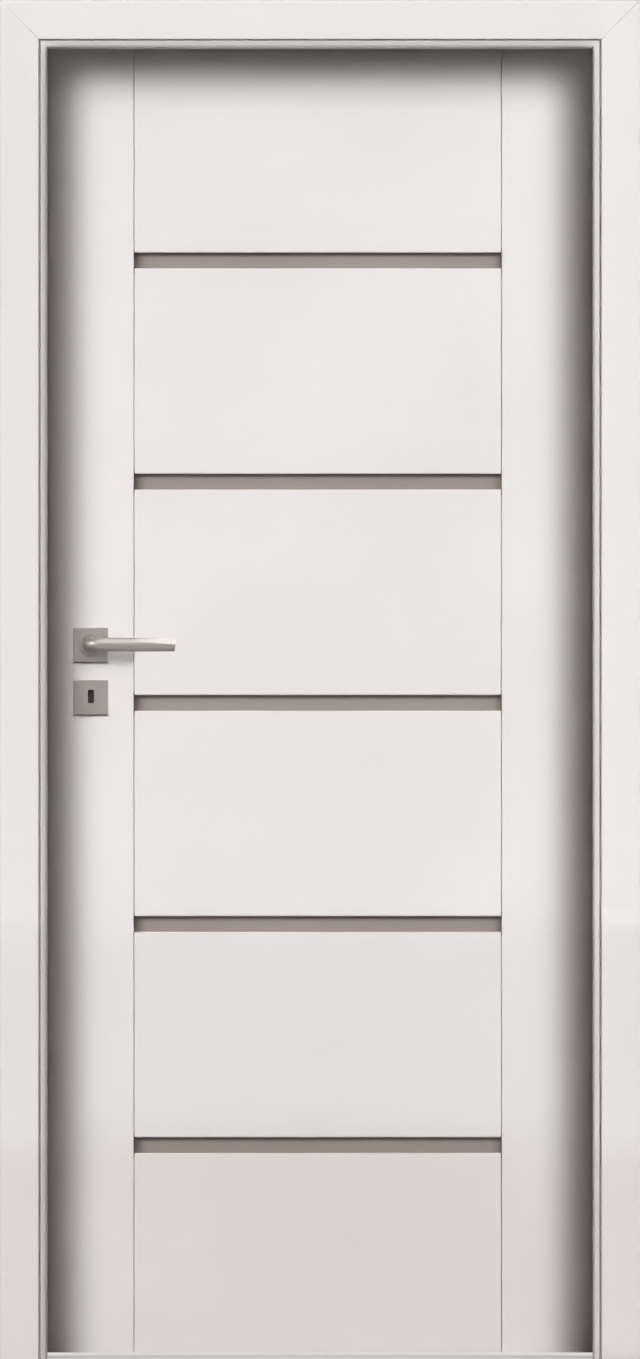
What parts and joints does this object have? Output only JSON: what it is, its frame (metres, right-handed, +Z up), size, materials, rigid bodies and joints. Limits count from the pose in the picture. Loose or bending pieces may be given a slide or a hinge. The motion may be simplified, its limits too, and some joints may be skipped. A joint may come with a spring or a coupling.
{
  "type": "interior door with frame",
  "caption": "White rebated interior door hung in an adjustable timber frame: stile-and-panel leaf with narrow satin-glass strips, barrel hinges and a lever on square rosettes.",
  "frame": {"origin": "on the outer face of the hinge-side lining board, at floor level, in the middle of the wall's thickness", "axes": "+X out of the hinge-side lining into the wall, +Y from the push side to the pull side, +Z up"},
  "size_m": [0.96, 0.2457, 2.038],
  "materials": {
    "white_lacquer": "satin white lacquer on wood board",
    "satin_glass": "satin-etched grey-brown glass, opaque",
    "satin_nickel": "satin nickel",
    "satin_steel": "satin stainless steel",
    "zinc_plated_steel": "dark passivated zinc-plated steel",
    "rubber_seal": "pale grey matt rubber"
  },
  "bodies": {
    "frame": {"back_casing_head": "white_lacquer", "back_casing_hinge_side": "white_lacquer", "back_casing_lock_side": "white_lacquer", "front_casing_head": "white_lacquer", "front_casing_hinge_side": "white_lacquer", "front_casing_lock_side": "white_lacquer", "hinge_1_frame_part": "satin_steel", "hinge_2_frame_part": "satin_steel", "hinge_3_frame_part": "satin_steel", "lining_head": "white_lacquer", "lining_hinge_side": "white_lacquer", "lining_lock_side": "white_lacquer", "seal_head": "rubber_seal", "seal_hinge_side": "rubber_seal", "seal_lock_side": "rubber_seal", "strike_plate": "satin_steel"},
    "leaf": {"dead_bolt": "satin_steel", "glass_strip_1": "satin_glass", "glass_strip_2": "satin_glass", "glass_strip_3": "satin_glass", "glass_strip_4": "satin_glass", "glass_strip_5": "satin_glass", "hinge_1_leaf_part": "satin_steel", "hinge_2_leaf_part": "satin_steel", "hinge_3_leaf_part": "satin_steel", "hinge_stile": "white_lacquer", "key_plate_back": "satin_nickel", "key_plate_front": "satin_nickel", "latch_bolt": "satin_steel", "lock_case": "zinc_plated_steel", "lock_forend": "satin_steel", "lock_stile": "white_lacquer", "panel_1": "white_lacquer", "panel_2": "white_lacquer", "panel_3": "white_lacquer", "panel_4": "white_lacquer", "panel_5": "white_lacquer", "panel_6": "white_lacquer", "rosette_back": "satin_nickel", "rosette_front": "satin_nickel"},
    "handle": {"lever_back": "satin_nickel", "lever_front": "satin_nickel", "spindle": "zinc_plated_steel"}
  },
  "joints": [
    {"name": "door_swing", "type": "hinge", "parent": "frame", "child": "leaf", "pos_m": [0.005, 0.117, 0], "axis": [0, 0, -1], "range_deg": [0, 170]},
    {"name": "lever_turn", "type": "hinge", "parent": "leaf", "child": "handle", "pos_m": [-0.777, 0.0885, 1.0715], "axis": [0, 1, 0], "range_deg": [0, 40], "stiffness_Nm_per_rad": 1.5, "springref_deg": -28.65}
  ]
}
